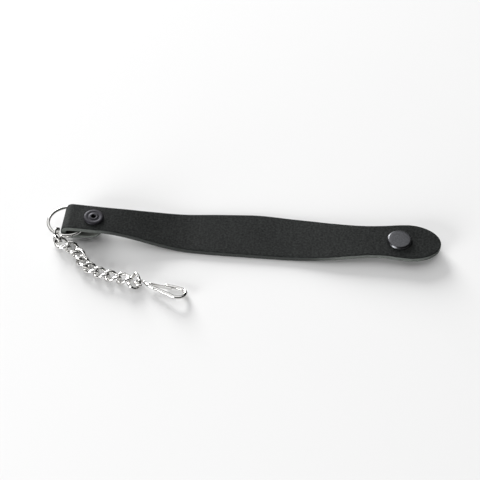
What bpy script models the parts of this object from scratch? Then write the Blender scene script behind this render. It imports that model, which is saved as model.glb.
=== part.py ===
# A leather hanger strap for a sporran, with its ring, curb chain and spring clip.
# It lies on a surface at z = 0. +X runs from the ring end to the tip, +Z is up.
# The origin is on the strap's underside, in the middle of the stretch that lies flat.

import math

import bmesh
import bpy
from mathutils import Euler, Matrix, Vector

SEAT_GAP = 0.0003

# Strap
STRAP_LENGTH = 0.194
STRAP_THICKNESS = 0.0026
FOLD_WIDTH = 0.0170
BELLY_WIDTH = 0.0280
WAIST_WIDTH = 0.0203
TIP_WIDTH = 0.0233
TIP_ROUNDING = 0.0165
BOW = 0.0018
EDGE_ROUNDING = 0.0005
FOLD_TO_ORIGIN = 0.0843
FLAT_BEHIND_ORIGIN = 0.0160
FLAT_BEFORE_ORIGIN = 0.0260
FLAP_LENGTH = 0.0223
FLAP_WIDTH = 0.0163
FLAP_ROUNDING = 0.0050
FLAP_SKIVED_SHARE = 0.6
FLAP_END_SHARE = 0.54
FLAP_CLOSES_BEFORE_BARREL = 0.0012
FLAP_THIN_BEFORE_STUD = 0.0015
FOLD_RISE = math.radians(4.5)

# Ring
RING_INSIDE = 0.0182
RING_WIRE = 0.0019
RING_FROM_FOLD = 0.0019
POCKET_PLAY = 0.0005

# Press studs
EYELET_FROM_FOLD = 0.0158
EYELET_DIAMETER = 0.0104
EYELET_HOLE = 0.0023
EYELET_HEIGHT = 0.0011
BARREL_DIAMETER = 0.0032
STUD_HEIGHT = 0.0032
STUD_DIAMETER = 0.0042
STUD_BASE_DIAMETER = 0.0056
STUD_FOOT_SHARE = 0.8
STUD_DISH = 0.0005
CAP_FROM_TIP = 0.0212
CAP_DIAMETER = 0.0127
CAP_HEIGHT = 0.0017
SHANK_DIAMETER = 0.0030
SOCKET_HEIGHT = 0.0034
SOCKET_DIAMETER = 0.0114
SOCKET_MOUTH = 0.0052

# Chain: every link is the same oval of wire, twisted along its length
LINK_WIRE = 0.0017
LINK_LENGTH = 0.0099
LINK_WIDTH = 0.0075
LINK_TWIST = math.radians(-52)
LINK_SQUARENESS = 2.2

# Where each link lies: middle x, y and z in mm, then heading, dip and roll in degrees
CHAIN_ROUTE = [
    (-86.42, -10.02, 5.17, -80, 70, 78),
    (-82.64, -12.73, 3.03, -17, 12, -8),
    (-77.29, -15.24, 2.67, -33, 8, -3),
    (-73.40, -19.41, 2.48, -56, -1, -11),
    (-70.28, -24.51, 2.50, -49, -2, -13),
    (-65.61, -28.40, 2.50, -29, -2, -13),
    (-59.98, -30.80, 2.50, -19, -2, -13),
    (-54.06, -32.36, 2.46, -13, -3, -13),
    (-48.34, -33.74, 3.30, -12, -18, 1),
    (-43.23, -34.40, 2.27, -85, 10, 16),
]

# Clip: a wire hook with an eye, closed by a flat spring leaf
CLIP_LENGTH = 0.0280
CLIP_WIDTH = 0.0103
CLIP_WIRE = 0.0019
CLIP_EYE_WIRE = 0.0014
CLIP_EYE_INSIDE = 0.0030
CLIP_EYE_SLACK = 0.0002
CLIP_SHOULDER_REACH = 0.0008
CLIP_SHOULDER_RISE = 0.0007
CLIP_NECK_REACH = 0.0024
CLIP_NECK_DROP = 0.00035
CLIP_NOSE_LENGTH = 0.0080
CLIP_NOSE_DROP = 0.0006
CLIP_HEADING = math.radians(-14.5)
CLIP_DIP = math.radians(-0.2)
CLIP_ROLL = math.radians(-19)
GATE_THICKNESS = 0.0005
GATE_WIDTH = 0.0018
GATE_UNDER_NOSE = 0.0042
GATE_BELOW_NOSE = 0.00134
GATE_BOW = 0.42

MM = 0.001
FOLD_X = -FOLD_TO_ORIGIN
TIP_X = FOLD_X + STRAP_LENGTH
CAP_X = TIP_X - CAP_FROM_TIP
TIP_REST = SOCKET_HEIGHT + SEAT_GAP
POCKET_GAP = RING_WIRE + 2 * POCKET_PLAY
FLAP_THICKNESS = FLAP_SKIVED_SHARE * STRAP_THICKNESS
UPPER_REST = STUD_HEIGHT - STUD_DISH + SEAT_GAP + FLAP_THICKNESS + POCKET_GAP
RING_RADIUS = (RING_INSIDE + RING_WIRE) / 2


def material(name, colour, roughness, metallic):
    made = bpy.data.materials.new(name)
    made.use_nodes = True
    shader = made.node_tree.nodes["Principled BSDF"]
    shader.inputs["Base Color"].default_value = (*colour, 1)
    shader.inputs["Roughness"].default_value = roughness
    shader.inputs["Metallic"].default_value = metallic
    return made


def add_object(name, data, look, parent=None):
    made = bpy.data.objects.new(name, data)
    bpy.context.scene.collection.objects.link(made)
    if look and not data.materials:
        data.materials.append(look)
    made.parent = parent
    return made


def mesh_object(name, shape, look, parent=None):
    bmesh.ops.recalc_face_normals(shape, faces=shape.faces)
    mesh = bpy.data.meshes.new(name)
    shape.to_mesh(mesh)
    shape.free()
    mesh.shade_smooth()
    mesh.set_sharp_from_angle(angle=math.radians(35))
    return add_object(name, mesh, look, parent)


def smooth_path(points, steps):
    # A Catmull-Rom curve through the points, with its ends carried straight on
    known = [Vector(point) for point in points]
    known = [2 * known[0] - known[1], *known, 2 * known[-1] - known[-2]]
    path = []
    for before, start, end, after in zip(known, known[1:], known[2:], known[3:]):
        for step in range(steps):
            t = step / steps
            path.append(0.5 * (2 * start + (end - before) * t
                               + (2 * before - 5 * start + 4 * end - after) * t ** 2
                               + (3 * start - before - 3 * end + after) * t ** 3))
    path.append(known[-2])
    return path


def between(table, place):
    # Straight-line reading of a table of (place, value) rows
    for (left, low), (right, high) in zip(table, table[1:]):
        if place <= right:
            share = max(0, (place - left) / (right - left))
            return low + (high - low) * share
    return table[-1][1]


def eased(table, place):
    # The same reading with a soft step between neighbouring rows
    for (left, low), (right, high) in zip(table, table[1:]):
        if place <= right:
            share = max(0, (place - left) / (right - left))
            return low + (high - low) * share * share * (3 - 2 * share)
    return table[-1][1]


def wire(name, path, radii, look, closed=False, sides=6, parent=None):
    curve = bpy.data.curves.new(name, "CURVE")
    curve.dimensions = "3D"
    curve.bevel_depth = 1
    curve.bevel_resolution = sides // 2 - 2
    curve.use_fill_caps = not closed
    spline = curve.splines.new("POLY")
    spline.points.add(len(path) - 1)
    for point, place, radius in zip(spline.points, path, radii):
        point.co = (*place, 1)
        point.radius = radius
    spline.use_cyclic_u = closed
    spline.use_smooth = True
    return add_object(name, curve, look, parent)


def strip(name, path, across, half_widths, half_depths, rounding, look, parent=None):
    # A flat strip swept along a path: across is the direction of its width
    shape = bmesh.new()
    across = Vector(across)
    rings = []
    for index, place in enumerate(path):
        ahead = path[min(index + 1, len(path) - 1)] - path[max(index - 1, 0)]
        up = across.cross(ahead).normalized()
        half_width = half_widths[index]
        half_depth = half_depths[index]
        corner = min(rounding, 0.6 * half_width, 0.6 * half_depth)
        ring = []
        for side, level, first in ((1, 1, 0), (-1, 1, 90), (-1, -1, 180), (1, -1, 270)):
            for turn in (0, 45, 90):
                angle = math.radians(first + turn)
                sideways = side * (half_width - corner) + corner * math.cos(angle)
                upward = level * (half_depth - corner) + corner * math.sin(angle)
                ring.append(shape.verts.new(place + sideways * across + upward * up))
        rings.append(ring)
    count = len(rings[0])
    for ring, following in zip(rings, rings[1:]):
        for k in range(count):
            after = (k + 1) % count
            shape.faces.new((ring[k], ring[after], following[after], following[k]))
    shape.faces.new(rings[0])
    shape.faces.new(rings[-1])
    return mesh_object(name, shape, look, parent)


def turned(name, profile, look, parent=None, steps=32):
    # A profile of (radius, height) points turned about Z. Points on the axis are merged
    shape = bmesh.new()
    verts = [shape.verts.new((radius, 0, height)) for radius, height in profile]
    edges = [shape.edges.new(pair) for pair in zip(verts, verts[1:])]
    if profile[0][0] > 0:
        edges.append(shape.edges.new((verts[-1], verts[0])))
    bmesh.ops.spin(shape, geom=verts + edges, axis=(0, 0, 1), cent=(0, 0, 0),
                   steps=steps, angle=math.tau, use_merge=True)
    bmesh.ops.remove_doubles(shape, verts=shape.verts, dist=1e-6)
    return mesh_object(name, shape, look, parent)


def cut_round_hole(target, radius, low, high, frame):
    shape = bmesh.new()
    bmesh.ops.create_cone(shape, cap_ends=True, segments=32, radius1=radius,
                          radius2=radius, depth=high - low)
    bmesh.ops.translate(shape, verts=shape.verts, vec=(0, 0, (low + high) / 2))
    cutter = mesh_object(target.name + "_hole", shape, None)
    cutter.matrix_world = frame
    cutter.hide_render = True
    cutter.display_type = "WIRE"
    cut = target.modifiers.new("hole", "BOOLEAN")
    cut.operation = "DIFFERENCE"
    cut.solver = "EXACT"
    cut.object = cutter


def ring_end_frame():
    # Stands on the edge of the stud's foot and leans with the folded end: u along it, v across
    lean = Matrix.Rotation(FOLD_RISE, 4, "Y")
    upper_face = UPPER_REST + STRAP_THICKNESS
    foot = FOLD_X + EYELET_FROM_FOLD - upper_face * math.sin(FOLD_RISE)
    lift = STUD_FOOT_SHARE * STUD_DIAMETER / 2 * math.sin(FOLD_RISE)
    return Matrix.Translation((foot, 0, lift)) @ lean


def strap_height(x, leave):
    # Height of the strap's middle from the tip to where the folded end begins
    rest = STRAP_THICKNESS / 2
    raised = TIP_REST + STRAP_THICKNESS / 2
    level_from = CAP_X - CAP_DIAMETER / 2
    if x >= level_from:
        return raised
    if x >= FLAT_BEFORE_ORIGIN:
        share = (x - FLAT_BEFORE_ORIGIN) / (level_from - FLAT_BEFORE_ORIGIN)
        return rest + (raised - rest) * share * share * (3 - 2 * share)
    if x >= -FLAT_BEHIND_ORIGIN:
        return rest
    span = -FLAT_BEHIND_ORIGIN - leave.x
    share = (x - leave.x) / span
    slope = -math.tan(FOLD_RISE) * span
    return (leave.z + slope * share + (3 * (rest - leave.z) - 2 * slope) * share ** 2
            + (2 * (leave.z - rest) + slope) * share ** 3)


def along_strap(rows, from_fold):
    # A smooth reading of rows of (share of the strap's length, value)
    path = smooth_path([(share * STRAP_LENGTH, value, 0) for share, value in rows], 6)
    return between([(place.x, place.y) for place in path], from_fold)


def strap_width(from_fold):
    # The outline is cut by hand: a neck at the fold, a belly, a waist and a round tip
    nose_start = STRAP_LENGTH - TIP_ROUNDING
    if from_fold >= nose_start:
        share = (from_fold - nose_start) / TIP_ROUNDING
        return TIP_WIDTH * math.sqrt(max(0, 1 - share * share))
    rows = [
        (0.000, FOLD_WIDTH),
        (0.084, 0.985 * FOLD_WIDTH),
        (0.125, 0.98 * FOLD_WIDTH),
        (0.166, 0.636 * BELLY_WIDTH),
        (0.208, 0.696 * BELLY_WIDTH),
        (0.249, 0.768 * BELLY_WIDTH),
        (0.290, 0.829 * BELLY_WIDTH),
        (0.342, 0.895 * BELLY_WIDTH),
        (0.393, 0.939 * BELLY_WIDTH),
        (0.445, 0.971 * BELLY_WIDTH),
        (0.507, BELLY_WIDTH),
        (0.558, 0.989 * BELLY_WIDTH),
        (0.610, 0.957 * BELLY_WIDTH),
        (0.661, 0.914 * BELLY_WIDTH),
        (0.713, 0.85 * BELLY_WIDTH),
        (0.754, 1.084 * WAIST_WIDTH),
        (0.795, 1.015 * WAIST_WIDTH),
        (0.826, WAIST_WIDTH),
        (0.857, 1.03 * WAIST_WIDTH),
        (0.888, 0.961 * TIP_WIDTH),
        (nose_start / STRAP_LENGTH, TIP_WIDTH),
    ]
    return along_strap(rows, from_fold)


def strap_bow(from_fold):
    # The leather isn't quite straight: its middle line swings a little to either side
    rows = [
        (0.000, 0),
        (0.084, 0.12 * BOW),
        (0.166, 0.35 * BOW),
        (0.249, 0.5 * BOW),
        (0.342, 0.65 * BOW),
        (0.445, 0.88 * BOW),
        (0.507, BOW),
        (0.558, 0.82 * BOW),
        (0.610, 0.5 * BOW),
        (0.661, 0.12 * BOW),
        (0.713, -0.25 * BOW),
        (0.774, -0.36 * BOW),
        (0.826, -0.2 * BOW),
        (0.888, 0),
        (1.000, 0),
    ]
    return along_strap(rows, from_fold)


def make_strap(look, frame):
    half = STRAP_THICKNESS / 2
    fold_radius = POCKET_GAP / 2 + half
    fold_centre_u = -EYELET_FROM_FOLD + fold_radius + half
    upper_mid = UPPER_REST + half
    leave_u = EYELET_DIAMETER / 2 + SEAT_GAP
    leave = frame @ Vector((leave_u, 0, upper_mid))
    path = []
    widths = []
    depths = []

    def add(place, width, depth):
        path.append(Vector(place))
        widths.append(width / 2)
        depths.append(depth / 2)

    nose_start = TIP_X - TIP_ROUNDING
    for angle in range(84, 0, -12):
        x = nose_start + TIP_ROUNDING * math.sin(math.radians(angle))
        add((x, strap_bow(x - FOLD_X), strap_height(x, leave)), strap_width(x - FOLD_X), STRAP_THICKNESS)
    steps = 48
    for step in range(steps):
        x = nose_start + (leave.x - nose_start) * step / steps
        add((x, strap_bow(x - FOLD_X), strap_height(x, leave)), strap_width(x - FOLD_X), STRAP_THICKNESS)
    steps = 8
    for step in range(steps):
        u = leave_u + (fold_centre_u - leave_u) * step / steps
        place = frame @ Vector((u, 0, upper_mid))
        place.y = strap_bow(place.x - FOLD_X)
        add(place, strap_width(place.x - FOLD_X), STRAP_THICKNESS)
    middle_v = UPPER_REST - POCKET_GAP / 2
    for angle in range(90, 271, 15):
        turn = math.radians(angle)
        u = fold_centre_u + fold_radius * math.cos(turn)
        v = middle_v + fold_radius * math.sin(turn)
        add(frame @ Vector((u, 0, v)), FOLD_WIDTH, STRAP_THICKNESS)
    # The tail runs back under the ring, gets thinner and closes up past the barrel
    flap_end_u = FLAP_LENGTH - EYELET_FROM_FOLD
    closes_from_u = -BARREL_DIAMETER / 2 - FLAP_CLOSES_BEFORE_BARREL
    thin_from_u = -STUD_BASE_DIAMETER / 2 - FLAP_THIN_BEFORE_STUD
    gaps = [(closes_from_u, POCKET_GAP), (flap_end_u, SEAT_GAP)]
    depths_table = [(fold_centre_u, STRAP_THICKNESS), (thin_from_u, FLAP_THICKNESS),
                    (flap_end_u, FLAP_END_SHARE * STRAP_THICKNESS)]
    rounding_from = flap_end_u - FLAP_ROUNDING
    stations = [fold_centre_u + (rounding_from - fold_centre_u) * k / 8 for k in range(1, 9)]
    stations += [rounding_from + FLAP_ROUNDING * math.sin(math.radians(a)) for a in range(14, 85, 14)]
    for u in stations:
        depth = between(depths_table, u)
        gap = eased(gaps, u)
        width = between([(fold_centre_u, FOLD_WIDTH), (rounding_from, FLAP_WIDTH)], u)
        share = max(0, (u - rounding_from) / FLAP_ROUNDING)
        width *= math.sqrt(1 - share * share)
        add(frame @ Vector((u, 0, UPPER_REST - gap - depth / 2)), width, depth)

    strap = strip("strap", path, (0, 1, 0), widths, depths, EDGE_ROUNDING, look)
    top = UPPER_REST + 2 * STRAP_THICKNESS
    cut_round_hole(strap, BARREL_DIAMETER / 2 + SEAT_GAP, 0, top, frame)
    tip_frame = Matrix.Translation((CAP_X, 0, 0))
    cut_round_hole(strap, SHANK_DIAMETER / 2 + SEAT_GAP, 0, 2 * (TIP_REST + STRAP_THICKNESS), tip_frame)


def make_ring(look, frame):
    # The ring lies level, held between the strap and its tail
    enters = math.sqrt(RING_RADIUS ** 2 - (FOLD_WIDTH / 2) ** 2)
    held_u = RING_FROM_FOLD - EYELET_FROM_FOLD + (enters + RING_RADIUS) / 2
    held = frame @ Vector((held_u, 0, UPPER_REST - POCKET_GAP / 2))
    count = 32
    path = []
    for step in range(count):
        angle = math.tau * step / count
        path.append((RING_RADIUS * math.cos(angle), RING_RADIUS * math.sin(angle), 0))
    ring = wire("ring", path, [RING_WIRE / 2] * count, look, closed=True, sides=8)
    ring.location = (FOLD_X + RING_FROM_FOLD, 0, held.z)


def make_eyelet(look, parent):
    flange = EYELET_DIAMETER / 2
    hole = EYELET_HOLE / 2
    barrel = BARREL_DIAMETER / 2
    base = UPPER_REST + STRAP_THICKNESS + SEAT_GAP
    high = EYELET_HEIGHT
    foot = STUD_HEIGHT + SEAT_GAP
    profile = [
        (hole, foot),
        (hole, base + 0.65 * high),
        (1.3 * hole, base + high),
        (0.43 * flange, base + high),
        (0.52 * flange, base + 0.62 * high),
        (0.63 * flange, base + 0.56 * high),
        (0.79 * flange, base + 0.86 * high),
        (0.93 * flange, base + 0.76 * high),
        (flange, base + 0.34 * high),
        (flange, base + 0.08 * high),
        (0.96 * flange, base),
        (barrel, base),
        (barrel, foot),
    ]
    turned("snap_eyelet", profile, look, parent)


def make_stud(look, parent):
    knob = STUD_DIAMETER / 2
    base = STUD_BASE_DIAMETER / 2
    high = STUD_HEIGHT
    edge = STUD_HEIGHT - STUD_DISH
    profile = [
        (0, high),
        (0.2 * base, high - 0.1 * STUD_DISH),
        (base, edge),
        (base, edge - STUD_DISH),
        (STUD_FOOT_SHARE * knob, edge - STUD_DISH),
        (0.76 * knob, 0.4 * high),
        (knob, 0.24 * high),
        (knob, 0.12 * high),
        (STUD_FOOT_SHARE * knob, 0),
        (0, 0),
    ]
    turned("snap_stud", profile, look, parent)


def make_cap(look):
    rim = CAP_DIAMETER / 2
    shank = SHANK_DIAMETER / 2
    base = TIP_REST + STRAP_THICKNESS + SEAT_GAP
    high = CAP_HEIGHT
    profile = [(0, base + high)]
    for angle in range(15, 76, 15):
        turn = math.radians(angle)
        profile.append((rim * math.sin(turn) ** 0.8, base + high * (0.22 + 0.78 * math.cos(turn))))
    profile += [
        (rim, base + 0.2 * high),
        (rim, base + 0.06 * high),
        (0.97 * rim, base),
        (shank, base),
        (shank, TIP_REST),
        (0, TIP_REST),
    ]
    cap = turned("snap_cap", profile, look, steps=40)
    cap.location = (CAP_X, 0, 0)


def make_socket(look):
    flange = SOCKET_DIAMETER / 2
    mouth = SOCKET_MOUTH / 2
    high = SOCKET_HEIGHT
    wall = mouth + 0.35 * (flange - mouth)
    profile = [
        (0, high),
        (0.98 * flange, high),
        (flange, 0.9 * high),
        (0.96 * flange, 0.76 * high),
        (wall + 0.1 * mouth, 0.68 * high),
        (wall, 0.12 * high),
        (0.94 * wall, 0),
        (1.12 * mouth, 0),
        (mouth, 0.12 * high),
        (mouth, 0.68 * high),
        (0, 0.68 * high),
    ]
    socket = turned("snap_socket", profile, look)
    socket.location = (CAP_X, 0, 0)


def link_path():
    half_length = (LINK_LENGTH - LINK_WIRE) / 2
    half_width = (LINK_WIDTH - LINK_WIRE) / 2
    power = 2 / LINK_SQUARENESS
    count = 16
    path = []
    for step in range(count):
        angle = math.tau * (step + 0.5) / count
        along = math.cos(angle)
        x = half_length * math.copysign(abs(along) ** power, along)
        aside = math.sin(angle)
        y = half_width * math.copysign(abs(aside) ** power, aside)
        twist = LINK_TWIST * x / half_length
        path.append((x, y * math.cos(twist), y * math.sin(twist)))
    return path


def make_chain(look):
    path = link_path()
    shape = None
    for index, (x, y, z, heading, dip, roll) in enumerate(CHAIN_ROUTE, 1):
        name = f"link_{index:02d}"
        if shape is None:
            link = wire(name, path, [LINK_WIRE / 2] * len(path), look, closed=True, sides=6)
            shape = link.data
        else:
            link = add_object(name, shape, look)
        link.location = (x * MM, y * MM, z * MM)
        link.rotation_euler = (math.radians(roll), math.radians(dip), math.radians(heading))


def clip_frame():
    # The last link lies across the chain, and its long side runs through the middle of the eye
    x, y, z, *_ = CHAIN_ROUTE[-1]
    reach = (LINK_WIDTH - LINK_WIRE) / 2 + CLIP_EYE_SLACK
    turn = Euler((CLIP_ROLL, CLIP_DIP, CLIP_HEADING)).to_matrix().to_4x4()
    ahead = Vector((math.cos(CLIP_HEADING), math.sin(CLIP_HEADING), 0)) * reach
    place = Vector((x * MM, y * MM, z * MM)) + ahead
    return Matrix.Translation(place) @ turn


def clip_sizes():
    eye_radius = (CLIP_EYE_INSIDE + CLIP_EYE_WIRE) / 2
    bend_radius = (CLIP_WIDTH - CLIP_WIRE) / 2
    bend_x = CLIP_LENGTH - eye_radius - CLIP_EYE_WIRE / 2 - bend_radius - CLIP_WIRE / 2
    return eye_radius, bend_radius, bend_x


def make_clip(look, gate_look):
    eye_radius, bend_radius, bend_x = clip_sizes()
    root = bpy.data.objects.new("clip_place", None)
    bpy.context.scene.collection.objects.link(root)
    root.matrix_world = clip_frame()
    thick = CLIP_WIRE / 2
    thin = CLIP_EYE_WIRE / 2
    path = []
    radii = []
    # The eye starts open beside the neck and goes nearly all the way round
    eye_opens = -46
    eye_ends = -318
    for angle in range(eye_opens, eye_ends - 1, -16):
        turn = math.radians(angle)
        path.append(Vector((eye_radius * math.cos(turn), eye_radius * math.sin(turn), 0)))
        radii.append(thin)
    neck = Vector((eye_radius + CLIP_NECK_REACH, -CLIP_NECK_DROP, 0))
    lean = math.atan2(bend_radius + neck.y, bend_x - neck.x)
    spine_end = Vector((bend_x - bend_radius * math.sin(lean), -bend_radius * math.cos(lean), 0))
    shoulder = Vector((eye_radius + CLIP_SHOULDER_REACH, CLIP_SHOULDER_RISE, 0))
    straight_from = neck.lerp(spine_end, 0.25)
    spine = smooth_path([path[-1], shoulder, neck, straight_from, spine_end], 4)
    for place in spine[1:-1]:
        share = min(1, max(0, (place.x - shoulder.x) / (neck.x - shoulder.x)))
        path.append(place)
        radii.append(thin + (thick - thin) * share)
    first = -90 - math.degrees(lean)
    turns = 14
    for step in range(turns + 1):
        turn = math.radians(first + (90 - first) * step / turns)
        path.append(Vector((bend_x + bend_radius * math.cos(turn), bend_radius * math.sin(turn), 0)))
        radii.append(thick)
    # The nose in shares of its length, with the wire's thickness there
    nose = [(0.35, 1), (0.7, 0.96), (0.92, 0.85), (1.0, 0.55)]
    for share, size in nose:
        drop = share * share * CLIP_NOSE_DROP
        path.append(Vector((bend_x - share * CLIP_NOSE_LENGTH, bend_radius - drop, 0)))
        radii.append(size * thick)
    wire("clip_body", path, radii, look, sides=8, parent=root)
    # The leaf is fixed beside the neck and its free end presses on the nose from inside
    root_x = neck.x
    seat = thick + SEAT_GAP + GATE_THICKNESS / 2
    root_y = neck.y + seat / math.cos(lean)
    nose_tip = path[-1]
    tip_x = nose_tip.x + GATE_UNDER_NOSE
    tip_y = bend_radius - GATE_BELOW_NOSE - SEAT_GAP - GATE_THICKNESS / 2
    middle = Vector(((tip_x - root_x) / 2, GATE_BOW * (tip_y - root_y), 0))
    leaf = smooth_path([(0, 0, 0), middle, (tip_x - root_x, tip_y - root_y, 0)], 8)
    half_widths = [GATE_WIDTH / 2] * len(leaf)
    half_depths = [GATE_THICKNESS / 2] * len(leaf)
    gate = strip("clip_gate", leaf, (0, 0, 1), half_widths, half_depths, GATE_THICKNESS / 4,
                 gate_look, root)
    gate.location = (root_x, root_y, 0)


def main():
    for item in list(bpy.data.objects):
        bpy.data.objects.remove(item)
    leather = material("black leather", (0.035, 0.037, 0.036), 0.5, 0)
    nickel = material("nickel plate", (0.72, 0.71, 0.68), 0.18, 1)
    gunmetal = material("dark gunmetal", (0.10, 0.10, 0.11), 0.35, 1)
    frame = ring_end_frame()
    leaning = bpy.data.objects.new("ring_end", None)
    bpy.context.scene.collection.objects.link(leaning)
    leaning.matrix_world = frame
    make_strap(leather, frame)
    make_ring(nickel, frame)
    make_eyelet(gunmetal, leaning)
    make_stud(gunmetal, leaning)
    make_cap(gunmetal)
    make_socket(gunmetal)
    make_chain(nickel)
    make_clip(nickel, nickel)


main()
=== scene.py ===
import math

import bmesh
import bpy
from mathutils import Euler, Matrix, Vector, noise


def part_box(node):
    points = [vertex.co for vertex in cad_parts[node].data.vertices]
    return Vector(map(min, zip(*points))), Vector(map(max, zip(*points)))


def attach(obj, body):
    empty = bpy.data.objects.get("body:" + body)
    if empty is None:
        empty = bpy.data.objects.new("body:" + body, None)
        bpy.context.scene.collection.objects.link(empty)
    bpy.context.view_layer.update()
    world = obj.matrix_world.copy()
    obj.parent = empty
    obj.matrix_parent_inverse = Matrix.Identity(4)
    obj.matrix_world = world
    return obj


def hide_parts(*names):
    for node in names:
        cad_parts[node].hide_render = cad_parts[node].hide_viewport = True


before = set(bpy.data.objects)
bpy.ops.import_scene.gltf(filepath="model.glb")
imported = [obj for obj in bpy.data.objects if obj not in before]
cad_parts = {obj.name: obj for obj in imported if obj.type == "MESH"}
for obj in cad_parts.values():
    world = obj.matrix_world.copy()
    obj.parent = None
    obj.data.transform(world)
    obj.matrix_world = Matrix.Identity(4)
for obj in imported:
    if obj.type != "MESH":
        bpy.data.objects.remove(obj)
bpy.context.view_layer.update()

mm = 0.001
print("frame loaded")


# Small helpers

def smoothPath(points, steps):
    # Catmull-Rom curve through the points
    known = [Vector(point) for point in points]
    known = [2 * known[0] - known[1], *known, 2 * known[-1] - known[-2]]
    path = []
    for before, start, end, after in zip(known, known[1:], known[2:], known[3:]):
        for step in range(steps):
            t = step / steps
            path.append(0.5 * (2 * start + (end - before) * t
                               + (2 * before - 5 * start + 4 * end - after) * t ** 2
                               + (3 * start - before - 3 * end + after) * t ** 3))
    path.append(known[-2])
    return path


def readTable(table, place, soft=False):
    # value at a place in a table of (place, value) rows
    for (left, low), (right, high) in zip(table, table[1:]):
        if place <= right:
            share = max(0, (place - left) / (right - left))
            if soft:
                share = share * share * (3 - 2 * share)
            return low + (high - low) * share
    return table[-1][1]


def addNode(tree, kind, values=None, **settings):
    made = tree.nodes.new(kind)
    for key, value in settings.items():
        setattr(made, key, value)
    for key, value in (values or {}).items():
        if isinstance(value, bpy.types.NodeSocket):
            tree.links.new(value, made.inputs[key])
        else:
            made.inputs[key].default_value = value
    return made


def addSum(tree, operation, *values):
    return addNode(tree, "ShaderNodeMath", dict(enumerate(values)), operation=operation).outputs[0]


def addProduct(tree, first, second):
    return addSum(tree, "MULTIPLY", first, second)


def addNoise(tree, place, scale, detail, roughness=0.5):
    values = {"Vector": place, "Scale": scale, "Detail": detail, "Roughness": roughness}
    return addNode(tree, "ShaderNodeTexNoise", values).outputs


def addRange(tree, value, low, high, toLow=0, toHigh=1):
    values = {"Value": value, "From Min": low, "From Max": high, "To Min": toLow, "To Max": toHigh}
    return addNode(tree, "ShaderNodeMapRange", values).outputs["Result"]


def readMark(tree, name):
    return addNode(tree, "ShaderNodeAttribute", attribute_name=name).outputs["Fac"]


def newGroup(name, kind, inputs, outputs):
    # inputs and outputs are rows of (name, type, value)
    tree = bpy.data.node_groups.new(name, kind)
    for inOut, rows in (("INPUT", inputs), ("OUTPUT", outputs)):
        for label, socketType, value in rows:
            socketType = "NodeSocket" + socketType
            socket = tree.interface.new_socket(name=label, in_out=inOut, socket_type=socketType)
            if value is not None:
                socket.default_value = value
    given = tree.nodes.new("NodeGroupInput").outputs
    return tree, given, tree.nodes.new("NodeGroupOutput").inputs


def faceOutward(mesh):
    shape = bmesh.new()
    shape.from_mesh(mesh)
    bmesh.ops.recalc_face_normals(shape, faces=shape.faces)
    shape.to_mesh(mesh)
    shape.free()


def toMesh(shape, name):
    mesh = bpy.data.meshes.new(name)
    shape.to_mesh(mesh)
    shape.free()
    return mesh


def newObject(name, data):
    made = bpy.data.objects.new(name, data)
    bpy.context.scene.collection.objects.link(made)
    return made


def addPiece(name, mesh, look, slot, body, *nodes):
    # a finished piece: it stands for its CAD nodes and rides on their body
    piece = newObject(name, mesh)
    mesh.materials.clear()
    mesh.materials.append(look)
    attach(piece, body)
    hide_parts(*nodes)


def asPlainMesh(source, name):
    # what the object's modifiers make of it, as a mesh of its own
    bpy.context.view_layer.update()
    evaluated = source.evaluated_get(bpy.context.evaluated_depsgraph_get())
    plain = bpy.data.meshes.new_from_object(evaluated)
    plain.name = name
    return plain


def runNodes(name, mesh, tree, values):
    # lets a node tree build on the mesh and returns the result as a plain mesh
    source = newObject(name, mesh)
    build = source.modifiers.new(name, "NODES")
    build.node_group = tree
    for item in tree.interface.items_tree:
        if item.item_type == "SOCKET" and item.in_out == "INPUT" and item.name in values:
            build[item.identifier] = values[item.name]
    plain = asPlainMesh(source, name)
    source.modifiers.remove(build)
    bpy.data.objects.remove(source)
    return plain


def markRub(mesh):
    # stores how far each point stands out, so that a finish can wear there
    standing = [0.0] * len(mesh.vertices)
    count = [0] * len(mesh.vertices)
    for edge in mesh.edges:
        a, b = (mesh.vertices[index] for index in edge.vertices)
        way = (b.co - a.co).normalized()
        standing[a.index] -= a.normal.dot(way)
        standing[b.index] += b.normal.dot(way)
        count[a.index] += 1
        count[b.index] += 1
    mark = mesh.attributes.new("rub", "FLOAT", "POINT")
    mark.data.foreach_set("value", [s / max(1, c) for s, c in zip(standing, count)])


# Shader groups that several finishes share

def makeGrainGroup():
    tree, given, result = newGroup("leatherGrain", "ShaderNodeTree",
                                   [("Vector", "Vector", None), ("Cells", "Float", 900),
                                    ("Wander", "Float", 0.0006)],
                                   [("Height", "Float", None), ("Crease", "Float", None)])
    place = given["Vector"]
    bend = addNoise(tree, place, 260, 2)["Color"]
    shift = addNode(tree, "ShaderNodeVectorMath", {0: bend, "Scale": given["Wander"]}, operation="SCALE")
    moved = addNode(tree, "ShaderNodeVectorMath", {0: place, 1: shift.outputs[0]}, operation="ADD").outputs[0]
    cells = addNode(tree, "ShaderNodeTexVoronoi", {"Vector": moved, "Scale": given["Cells"]},
                    feature="DISTANCE_TO_EDGE")
    crease = addNode(tree, "ShaderNodeMapRange", {"Value": cells.outputs["Distance"], "From Max": 0.16},
                     interpolation_type="SMOOTHSTEP").outputs["Result"]
    pores = addNoise(tree, moved, 3800, 3)[0]
    waves = addNoise(tree, place, 190, 4)[0]
    height = addSum(tree, "ADD", addProduct(tree, crease, 0.45), addProduct(tree, pores, 0.3))
    height = addSum(tree, "ADD", height, addProduct(tree, waves, 0.6))
    tree.links.new(height, result["Height"])
    tree.links.new(crease, result["Crease"])
    return tree


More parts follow.
